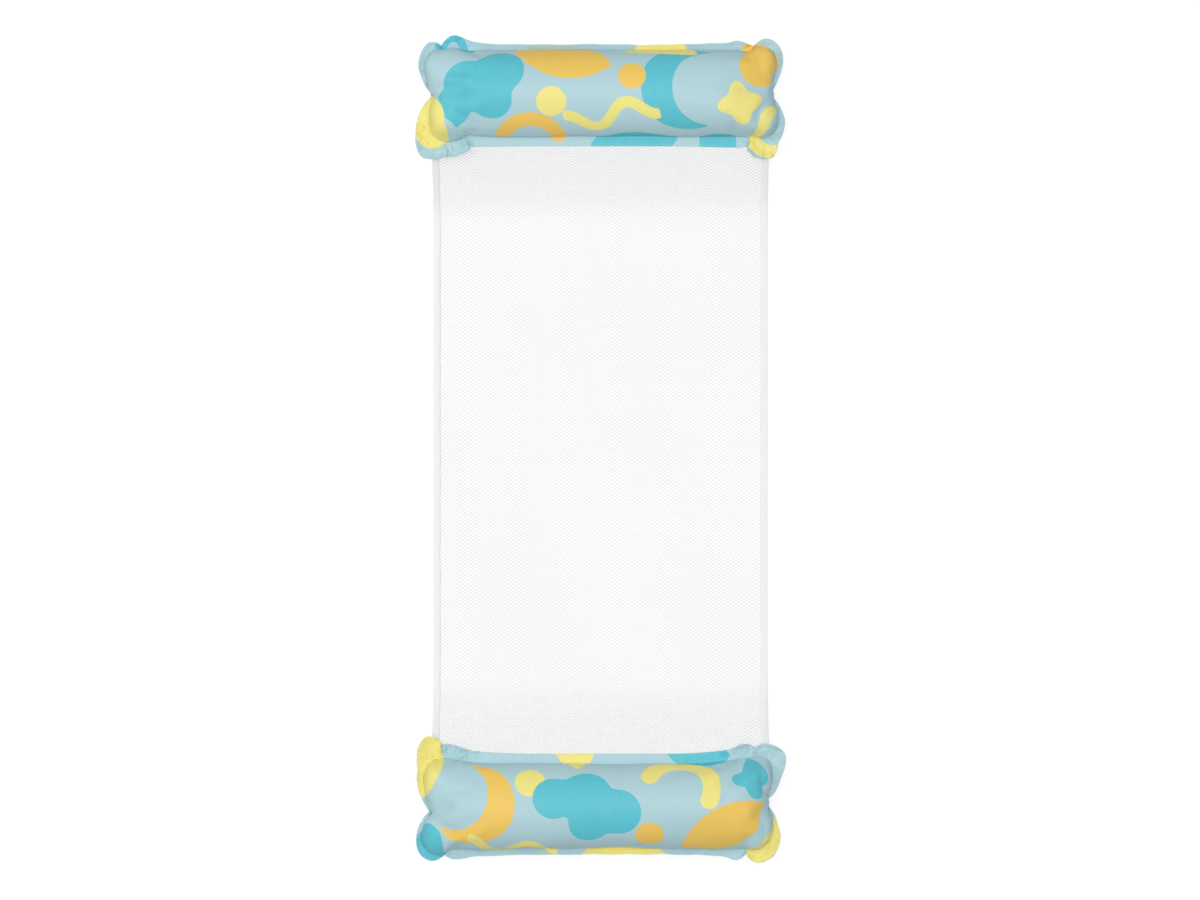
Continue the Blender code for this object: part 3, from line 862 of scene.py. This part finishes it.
    def swollen(self, points, up):
        """Moves the cloth of the lobes outwards, square to its surface; the seam stays."""
        normal = np.cross(np.gradient(points, axis=1), np.gradient(points, axis=0)) * up
        for _ in range(6):
            normal[1:-1, 1:-1] += around(normal)
            normal /= np.linalg.norm(normal, axis=-1)[..., None] + 1e-12
        normal[..., 2] *= SWELL_LIFT
        from_end = np.abs(np.abs(self.flat[..., 0]) - PATTERN_LENGTH / 2)
        ends = np.clip(1 - (from_end - SWELL_REACH) / SWELL_FADE, 0, 1)
        row, column = np.indices(points.shape[:2])
        cells_in = np.minimum.reduce([row, row[::-1], column, column[:, ::-1]])
        share = ends**2 * (3 - 2 * ends) * (1 - np.exp(-cells_in * CLOTH_CELL / SWELL_START))
        shaped = points + normal * (share * FULLNESS)[..., None]
        for _ in range(CREASE_SMOOTHING):
            bend = around(shaped) / 4 - shaped[1:-1, 1:-1]
            tight = (np.linalg.norm(bend, axis=-1) - CREASE_BEND) / CREASE_BEND
            shaped[1:-1, 1:-1] += bend * np.clip(tight, 0.1, 1)[..., None] / 2
        return shaped

    def placed(self, points):
        return points + np.array(self.centre)


def settled(cover, points, up):
    """Scales a panel to the tube's height and lays the lower one on the floor."""
    if up > 0:
        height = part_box(f"{cover.end}_cover_upper")[1].z - cover.centre.z
    else:
        height = cover.centre.z + FLOOR_PRESS
    shaped = points.copy()
    shaped[..., 2] *= height / np.abs(points[..., 2]).max()
    shaped = cover.placed(shaped)
    if up > 0:
        return cleared(cover, shaped)
    shaped[..., 2] = np.maximum(shaped[..., 2], FLOOR_CLEARANCE)
    return shaped


def cleared(cover, points):
    """Keeps the lobes beside the fold line clear of the net when the pillow is folded over it."""
    turn = math.radians(joint(f"{cover.end}_pillow_fold")["range_deg"][1])
    shaped = points.copy()
    for _ in range(6):
        out = shaped[..., 1] * cover.side - FOLD_Y
        height = shaped[..., 2] - FLANGE_Z
        across = FOLD_Y + out * math.cos(turn) - height * math.sin(turn)
        above = FLANGE_Z + out * math.sin(turn) + height * math.cos(turn)
        spare = above - net_height(across) - FOLDED_CLEARANCE
        short = (np.sqrt(spare**2 + 0.001**2) - spare) / 2
        short[spare > 0.01] = 0
        shaped[..., 2] += short * np.clip(height / 0.008, 0, 1) / math.cos(turn)
    return shaped


# Valves


class Valve:
    """A valve's axis and the height of the film that it is welded to."""

    def __init__(self, end):
        self.normal = -Vector(joint(f"{end}_valve_push")["axis"])
        corners = [vertex.co for vertex in frame["nodes"][f"{end}_valve_base"].data.vertices]
        middle = sum(corners, Vector()) / len(corners)
        rises = [(corner - middle).dot(self.normal) for corner in corners]
        reaches = [
            (corner - middle - self.normal * rise).length for corner, rise in zip(corners, rises)
        ]
        rim = min(rise for rise, reach in zip(rises, reaches) if reach > 0.95 * max(reaches))
        self.place = middle + self.normal * (rim - FILM_GAP)

    def flatten(self, points, height):
        """Draws a surface down to a flat ring round the valve, at that height above the film."""
        place, normal = np.array(self.place), np.array(self.normal)
        rise = (points - place) @ normal
        reach = np.linalg.norm(points - place - rise[..., None] * normal, axis=-1)
        share = (VALVE_BLEND_RADIUS - reach) / (VALVE_BLEND_RADIUS - VALVE_FLAT_RADIUS)
        share = np.clip(share, 0, 1) * (np.abs(rise) < SAME_SIDE)
        share = share**2 * (3 - 2 * share)
        return points - ((rise - height) * share)[..., None] * normal

    def cutter(self, radius):
        bm = bmesh.new()
        sizes = {"radius1": radius, "radius2": radius, "depth": CUTTER_LENGTH}
        bmesh.ops.create_cone(bm, cap_ends=True, segments=64, **sizes)
        mesh = bpy.data.meshes.new("cutter")
        bm.to_mesh(mesh)
        bm.free()
        made = add_object("cutter", mesh)
        made.location = self.place
        made.rotation_mode = "QUATERNION"
        made.rotation_quaternion = self.normal.to_track_quat("Z", "Y")
        return made


def binding(name, valve, surface):
    """A narrow rolled binding round the cover's opening."""
    turn = np.linspace(0, 2 * math.pi, 72, endpoint=False)[None, :, None]
    angle = np.linspace(0, 2 * math.pi, 10, endpoint=False)[:, None, None]
    normal, x_axis = np.array(valve.normal), np.array((1.0, 0.0, 0.0))
    out = x_axis * np.cos(turn) + np.cross(normal, x_axis) * np.sin(turn)
    middle = np.array(valve.place) + normal * (VALVE_COVER_HEIGHT - COVER_THICKNESS / 2)
    reach = OPENING_RADIUS + BINDING_HALF_WIDTH * np.cos(angle)
    points = middle + out * reach + normal * BINDING_HALF_HEIGHT * np.sin(angle)
    mesh = grid_mesh(name, points, points[..., :2], closed=True, ring=True)
    turn_faces_out(mesh)
    return add_object(name, mesh, surface)


# Flanges and sewing


class Flange:
    """The sewn edge outside a cover's seam."""

    ROWS = (-1.0, 0.0, 0.12, 0.25, 0.38, 0.5, 0.62, 0.75, 0.88, 1.0)  # shares of its width

    def __init__(self, cover):
        self.cover = cover
        samples = round(QUARTER / FLANGE_STEP)
        places = []
        for signs, onwards in (((1, 1), -1), ((-1, 1), 1), ((-1, -1), -1), ((1, -1), 1)):
            shares = np.arange(samples) / samples
            shares = shares if onwards > 0 else 1 - shares
            places += [(signs, share * QUARTER) for share in shares]
        rows = [cover.quarters[signs].at(distance) for signs, distance in places]
        flats = [cover.quarters[signs].flat(distance) for signs, distance in places]
        self.flat, self.flat_out = (np.array([flat[i] for flat in flats]) for i in (0, 1))
        heights = [cover.seam_height(flat) for flat in self.flat]
        self.seam = np.array([(*row[0], height) for row, height in zip(rows, heights)])
        self.curl, self.gather, self.width = (np.array([row[i] for row in rows]) for i in (1, 2, 3))
        self.out = self.outwards()
        self.gather = self.blurred(self.gather, 5)
        self.wander = np.array([self.ruffle(i) for i in range(len(self.flat))])
        self.width = self.width * np.array([self.uneven(flat) for flat in self.flat])

    def uneven(self, flat):
        """The free edge isn't cut quite parallel to the seam."""
        stray = drift(*(flat * 30), 6.6 * self.cover.side)
        return 1 + UNEVEN_CUT * stray * self.cover.looseness(flat)

    def blurred(self, values, reach):
        shifts = range(-reach, reach + 1)
        weights = [1 - abs(shift) / (reach + 1) for shift in shifts]
        total = sum(weight * np.roll(values, shift, axis=0) for weight, shift in zip(weights, shifts))
        return total / sum(weights)

    def outwards(self):
        """Outward direction at each sample, evened out over the notches."""
        along = np.roll(self.seam, -1, axis=0) - np.roll(self.seam, 1, axis=0)
        out = np.dstack([along[:, 1], -along[:, 0], 0 * along[:, 0]])[0]
        out /= np.linalg.norm(out, axis=1)[:, None] + 1e-9
        out = self.blurred(out, 3)
        return out / np.linalg.norm(out, axis=1)[:, None]

    def ruffle(self, i):
        """How far the free edge waves out of its plane."""
        least = TAUT_WAVE + LOOSE_WAVE * self.cover.looseness(self.flat[i])
        spare = max(self.width[i] - RUFFLE_WIDTH, 0) * 0.25
        depth = least + RUFFLE_DEPTH * self.gather[i] + spare
        return depth * 2 * drift(*(self.flat[i] * 60), 9.1 * self.cover.side)

    def crease(self, i, share):
        """Sharp folds over the wide ears and at the gathers, running out from the seam."""
        ear = min(max(self.width[i] - WIDE_FLANGE, 0) / WIDE_FLANGE_FADE, 1)
        spare = ear + 0.6 * self.gather[i]
        if spare < 0.01:
            return 0.0
        x, y = self.flat[i] * 170 + self.flat_out[i] * share * 0.9
        seed = 2.3 * self.cover.side
        bend = 0.5 * drift(x * 0.4, y * 0.4, share * 2 + seed)
        sharp = 1 - 2.6 * abs(drift(x + bend, y + bend, seed))
        across = (self.seam[i] + self.out[i] * share * self.width[i])[:2] * 100
        broad = 0.5 - 1.6 * abs(drift(*across, seed + 4))
        return spare * FOLD_DEPTH * (share**0.7 * sharp + share * broad)

    def point(self, i, share):
        """Share 0 is on the seam, 1 on the free edge, and below 0 between the two panels."""
        i %= len(self.seam)
        if share < 0:
            return self.seam[i] + self.out[i] * FLANGE_TUCK * share
        reach = self.out[i] * self.width[i] * share
        rise = self.curl[i] * share**1.5 + self.wander[i] * share**1.3 + self.crease(i, share)
        if self.flat[i][1] * self.cover.side < 0:
            rise = (rise + math.hypot(rise, NET_SIDE_BLEND)) / 2  # stays over the net
        return self.seam[i] + reach + np.array((0, 0, rise))

    def mesh(self, name):
        samples = range(len(self.seam))
        points = np.array([[self.point(i, share) for i in samples] for share in self.ROWS])
        reach = np.clip(self.ROWS, 0, None)[:, None] * self.width
        along = np.broadcast_to(walked_along(points[5]), reach.shape)
        return grid_mesh(
            name,
            self.cover.placed(points),
            self.flat + self.flat_out * reach[..., None],
            flip=True,
            closed=True,
            folds_at=np.dstack([along, reach]),
        )

    def stitch_row(self, share_of):
        """Places of stitches along the share that share_of gives for the flange's width."""
        count = len(self.seam)
        line = [self.point(i, share_of(self.width[i % count])) for i in range(count + 1)]
        return spaced(self.cover.placed(np.array(line)))


def spaced(line):
    """Start and end of each stitch, evenly spaced along the line."""
    walked = walked_along(line)
    middles = np.arange(STITCH_PITCH / 2, walked[-1] - STITCH_PITCH / 2, STITCH_PITCH)
    return [
        [
            Vector([np.interp(middle + shift, walked, line[:, i]) for i in range(3)])
            for shift in (-STITCH_LENGTH / 2, STITCH_LENGTH / 2)
        ]
        for middle in middles
    ]


def stitches(name, rows, surface):
    """Short rounded threads; each row is (places, the way the cloth faces, height over it)."""
    points, faces = [], []
    for places, facing, height in rows:
        for start, end in places:
            along = (end - start).normalized()
            across = along.cross(facing).normalized()
            up = across.cross(along).normalized()
            near = len(points) + 1
            far = near + THREAD_SIDES
            points.append(start + facing * (height - THREAD_RADIUS))
            for share in (0.2, 0.8):
                middle = start.lerp(end, share) + facing * height
                for turn in range(THREAD_SIDES):
                    angle = 2 * math.pi * turn / THREAD_SIDES
                    ring = across * math.cos(angle) + up * math.sin(angle)
                    points.append(middle + ring * THREAD_RADIUS)
            points.append(end + facing * (height - THREAD_RADIUS))
            for turn in range(THREAD_SIDES):
                after = (turn + 1) % THREAD_SIDES
                faces.append((near - 1, near + after, near + turn))
                faces.append((near + turn, near + after, far + after, far + turn))
                faces.append((far + turn, far + after, far + THREAD_SIDES))
    mesh = smooth_mesh(name, points, faces)
    turn_faces_out(mesh)
    return add_object(name, mesh, surface)


# Pillows


def panel(name, cover, points, up, surface):
    made = add_object(name, grid_mesh(name, points, cover.flat[..., :2], flip=up < 0), surface)
    refine(made)
    thicken(made, COVER_THICKNESS, -1)
    return made


def bladder(name, cover, panels, valve, surface):
    """The inflated film inside a cover, which the valve's opening shows."""
    centre, shrink = np.array(cover.centre), np.array(BLADDER_SHRINK)
    layers = []
    for cloth in panels:
        points = cloth.copy()
        for _ in range(BLADDER_SMOOTHING):
            points[1:-1, 1:-1] = points[1:-1, 1:-1] / 2 + around(points) / 8
        layers.append(centre + (points[1:-1, 1:-1] - centre) * shrink)
    middle = (layers[0] + layers[1]) / 2
    for layer in layers:
        for edge in (np.s_[0, :], np.s_[-1, :], np.s_[:, 0], np.s_[:, -1]):
            layer[edge] = middle[edge]
    layers[1] = valve.flatten(layers[1], 0.0)
    points, faces, _, _ = joined(*layers)
    made = add_object(name, smooth_mesh(name, points.tolist(), faces), surface)
    thicken(made, FILM_THICKNESS, -1)
    cut(made, valve.cutter(FILM_HOLE_RADIUS))
    return made


def strap(end, surface):
    """The plug's strap, which on the real valve stays on the stem and on the plug while the plug is
    pulled; here a copy of the imported one with cuts across its middle.
    """
    name = f"{end}_plug_tether"
    mesh = bpy.data.meshes.new(name)
    bm = bmesh.new()
    bm.from_mesh(frame["nodes"][f"{end}_plug_strap"].data)
    out = Vector(joint(f"{end}_plug_pull")["axis"])
    rises = [vertex.co.dot(out) for vertex in bm.verts]
    low, high = min(rises), max(rises)
    for share in np.linspace(*STRAP_BEND, STRAP_CUTS):
        bmesh.ops.bisect_plane(
            bm,
            geom=[*bm.verts, *bm.edges, *bm.faces],
            plane_co=out * (low + (high - low) * share),
            plane_no=out,
        )
    bm.to_mesh(mesh)
    bm.free()
    mesh.shade_smooth()
    mesh.set_sharp_from_angle(angle=SHARP_EDGE)
    made = add_object(name, mesh, surface)
    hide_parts(f"{end}_plug_strap")
    places = (out * (low + (high - low) * share) for share in STRAP_BEND)
    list(places)
    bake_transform(made)


def sewn(end, flange, surface):
    """Two rows of stitches on both faces of a flange, near its seam and near its free edge."""
    near_seam = flange.stitch_row(lambda width: min(SEAM_STITCHES / max(width, 0.004), 0.6))
    near_edge = flange.stitch_row(lambda width: 1 - min(EDGE_STITCHES / max(width, 0.004), 0.4))
    over = FLANGE_THICKNESS / 2 + THREAD_RADIUS * 0.3
    rows = [(row, Vector((0, 0, up)), over) for up in (1, -1) for row in (near_seam, near_edge)]
    return stitches(f"{end}_flange_stitching", rows, surface)


def pillow(end, cloth, hem_cloth, other_cloth, film, clear, blue, sewing):
    """All of a pillow; it returns the upper panel, on which the net can rest."""
    cover, valve = Cover(end), Valve(end)
    upper = settled(cover, cover.upper, 1)
    lower = settled(cover, cover.lower, -1)
    top = panel(f"{end}_cover_top_cloth", cover, upper, 1, cloth)
    apply_modifiers(top)
    flattened = valve.flatten(lower, VALVE_COVER_HEIGHT)
    under = panel(f"{end}_cover_under_cloth", cover, flattened, -1, other_cloth)
    cut(under, valve.cutter(OPENING_RADIUS))
    flange = Flange(cover)
    edge = add_object(f"{end}_flange", flange.mesh(f"{end}_flange"), hem_cloth)
    thicken(edge, FLANGE_THICKNESS, 0)
    refine(edge)
    apply_modifiers(edge)
    seams = sewn(end, flange, sewing)
    bound = binding(f"{end}_opening_binding", valve, other_cloth)
    air = bladder(f"{end}_bladder_film", cover, (upper, lower), valve, film)
    for piece in (top, under, edge, seams, bound, air):
        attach(piece, f"{end}_pillow")
    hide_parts(f"{end}_cover_upper")
    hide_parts(f"{end}_cover_lower")
    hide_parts(f"{end}_bladder_upper", f"{end}_bladder_lower")
    for node in ("valve_base", "valve_stem", "valve_flap"):
        frame["nodes"][f"{end}_{node}"].data.materials[0] = clear
    frame["nodes"][f"{end}_valve_plug"].data.materials[0] = blue
    strap(end, blue)
    return top


# Net and its edges


def net_height(y):
    """On the floor in the middle, then curving up to the flange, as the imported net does."""
    share = np.clip((np.abs(y) - NET_END_Y + NET_RAMP) / NET_RAMP, 0, 1)
    return FLOOR_Z + (FLANGE_Z - FLOOR_Z) * share**2 * (2 - share)


def net_places(distances, last_y):
    """y and z at distances along the net from its middle, and the length up to last_y."""
    ys = np.linspace(0, last_y, 3000)
    walked = walked_along(np.column_stack([ys, net_height(ys)]))
    y = np.interp(distances, walked, ys)
    return y, net_height(y), walked[-1]


def half_net(name, side, surface):
    """Half of the net, a ring of faces round each opening, with its flat size and its area."""
    last_y = FOLD_Y + NET_UNDER_FLANGE
    length = net_places(0, last_y)[2]
    half_width = TAPE_EDGE_X - NET_INSIDE_TAPE
    rows = round(length / NET_ROW)
    columns = 2 * round(2 * half_width / NET_PITCH)
    step, row_step = 2 * half_width / columns, length / rows
    first = 0 if side > 0 else 1
    points, faces = [], []
    for line in range(rows + 1):
        for column in range(columns + 1):
            offset = -NET_ZIGZAG if (column + line + first) % 2 else NET_ZIGZAG
            points.append((column * step - half_width, line * row_step + offset, STRAND_ROUNDING))
    (near_x, far_y), (far_x, near_y) = OPENING
    opening = [
        (-near_x, -far_y), (near_x, -far_y), (far_x, -near_y), (far_x, near_y),
        (near_x, far_y), (-near_x, far_y), (-far_x, near_y), (-far_x, -near_y),
    ]
    for row in range(rows):
        for column in range(1 + (row + first) % 2, columns, 2):
            low = row * (columns + 1) + column
            high = low + columns + 1
            at = len(points)
            x, y = column * step - half_width, (row + 0.5) * row_step
            points += [(x + dx, y + dy, 0.0) for dx, dy in opening]
            faces += [
                (low, at + 1, at),
                (low, low + 1, at + 2, at + 1),
                (low + 1, high + 1, at + 3, at + 2),
                (high + 1, high, at + 4, at + 3),
                (high, at + 5, at + 4),
                (high, high - 1, at + 6, at + 5),
                (high - 1, low - 1, at + 7, at + 6),
                (low - 1, low, at, at + 7),
            ]
    points = np.array(points)
    y, z, _ = net_places(points[:, 1], last_y)
    sway = np.array([drift(px * 6, side * py * 6, 0.4) for px, py in zip(points[:, 0], y)])
    sway *= NET_WAVE * np.clip((NET_END_Y - y) / NET_WAVE_FADE, 0, 1)
    points[:, 2] += np.maximum(z + sway, NET_LOWEST)
    points[:, 1] = y * side
    if side < 0:
        faces = [face[::-1] for face in faces]
    made = add_object(name, smooth_mesh(name, points.tolist(), faces), surface)
    quarter = near_x * far_y + (far_x - near_x) * (far_y + near_y) / 2
    area = (1 - 4 * quarter / (2 * step * row_step)) * 2 * half_width * length
    return made, (2 * half_width, length), area


def edge_tape(name, side, surface):
    """A flat tape folded over the net's long edge, and the places of its stitches."""
    last = net_places(0, TAPE_END_Y)[2]
    distances = np.linspace(-last, last, 161)
    y, z, _ = net_places(np.abs(distances), TAPE_END_Y)
    y = np.sign(distances) * y
    slope = np.gradient(z, distances)
    fold = TAPE_HALF_THICKNESS
    width = TAPE_EDGE_X - TAPE_INNER_X
    section = [(width, fold * 0.4), (width - 0.0015, fold), (width * 0.5, fold)]
    for a in np.linspace(0, math.pi, 9):
        section.append((fold * (1 - math.sin(a)), fold * math.cos(a)))
    section += [(width * 0.5, -fold), (width, -fold * 0.9), (width + 0.0004, -fold * 0.2)]
    points = np.zeros((len(distances), len(section), 3))
    for i, (place, height) in enumerate(zip(y, z)):
        pucker = TAPE_PUCKER * drift(side, place * 45, 1.7)
        tilt = Vector((0, -slope[i], math.sqrt(max(1 - slope[i] ** 2, 0))))
        for k, (inwards, offset) in enumerate(section):
            wave = pucker * inwards / width
            at = Vector((side * (TAPE_EDGE_X - inwards), place, max(height, fold + 0.0002)))
            points[i, k] = at + tilt * offset * (1 + 250 * abs(wave)) + Vector((side * wave, 0, 0))
    mesh = grid_mesh(name, points, closed=True, flip=side < 0)
    turn_faces_out(mesh, fill_holes=True)
    made = add_object(name, mesh, surface)
    x = side * (TAPE_INNER_X + TAPE_STITCHES_IN)
    return made, spaced(np.array([(x, a, max(b, fold) + fold) for a, b in zip(y, z)]))


def net():
    net_cloth = knitted("net_knit", NET_COLOUR, 0.0009)
    tape_cloth = woven_tape("tape_weave", TAPE_COLOUR)
    tapes, rows = [], []
    for side, word in ((-1, "left"), (1, "right")):
        tape, places = edge_tape(f"{word}_tape", side, tape_cloth)
        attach(tape, "net")
        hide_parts(f"{word}_edge_tape")
        tapes.append(tape)
        rows.append((places, Vector((0, 0, 1)), THREAD_RADIUS * 0.2))
    seams = stitches("tape_stitching", rows, thread("white_thread", WHITE_THREAD))
    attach(seams, "net")
    for end, (side, _) in PILLOWS.items():
        half, flat, area = half_net(f"net_{end}_half", side, net_cloth)
        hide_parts("net_panel", f"{end}_net_hem")
        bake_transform(half)


# Studio


def light(name, place, size, power):
    """A lamp that faces the middle of the floor."""
    lamp = bpy.data.lights.new(name, "AREA")
    lamp.shape = "RECTANGLE"
    lamp.size = lamp.size_y = size
    lamp.energy = power
    made = bpy.data.objects.new(name, lamp)
    bpy.context.scene.collection.objects.link(made)
    made.location = place
    made.rotation_euler = (-Vector(place)).to_track_quat("-Z", "Y").to_euler()


def floor():
    """A white floor that keeps a soft shadow."""
    bm = bmesh.new()
    bmesh.ops.create_grid(bm, x_segments=1, y_segments=1, size=12)
    mesh = bpy.data.meshes.new("floor")
    bm.to_mesh(mesh)
    bm.free()
    n = material_nodes("floor")
    surface = n.finish(
        rgba(FLOOR_COLOUR),
        Roughness=1.0,
        Specular_IOR_Level=0.0,
        Emission_Color=rgba(WHITE),
        Emission_Strength=n.times(n.backdrop(), FLOOR_GLOW),
    )
    add_object("floor", mesh, surface)


def studio():
    scene = bpy.context.scene
    scene.view_settings.view_transform = "Standard"
    camera = bpy.data.cameras.new("camera")
    camera.lens = LENS
    camera.sensor_width = SENSOR
    scene.camera = bpy.data.objects.new("camera", camera)
    scene.collection.objects.link(scene.camera)
    scene.camera.location = (CAMERA_X, 0, FLANGE_Z + VIEW_WIDTH * LENS / SENSOR)
    floor()
    light("overhead", (-0.4, 0.3, 9.0), 4.5, 385)
    light("side", (-4.2, 1.5, 3.6), 1.8, 50)
    n = Nodes(bpy.data.worlds.new("studio"))
    scene.world = n.owner
    ambient = n.tree.nodes["Background"]
    n.connect(ambient.inputs["Color"], rgba(SKY))
    n.connect(ambient.inputs["Strength"], SKY_STRENGTH)
    white = n.put("ShaderNodeBackground", 0, {"Color": rgba(WHITE), "Strength": 1.0})
    mixed = n.put("ShaderNodeMixShader", 0, {0: n.backdrop(), 1: ambient.outputs[0], 2: white})
    n.connect(n.tree.nodes["World Output"].inputs["Surface"], mixed)


studio()
prints = {"head": HEAD_PRINT, "foot": FOOT_PRINT}
cloths = {end: printed_cloth(f"{end}_print", motifs) for end, motifs in prints.items()}
hems = {
    end: printed_cloth(f"{end}_flange_print", motifs, FLANGE_CRUMPLE)
    for end, motifs in prints.items()
}
film = vinyl("bladder_film", FILM_COLOUR, 0.30, 0.3)
clear_vinyl = vinyl("valve_vinyl", CLEAR_VINYL, 0.28, 0.4)
blue_vinyl = vinyl("plug_vinyl", BLUE_VINYL, 0.32, 0.3)
fittings = (film, clear_vinyl, blue_vinyl, thread("pale_thread", PALE_THREAD))
tops = {
    end: pillow(end, cloths[end], hems[end], cloths[other], *fittings)
    for end, other in (("head", "foot"), ("foot", "head"))
}
net()
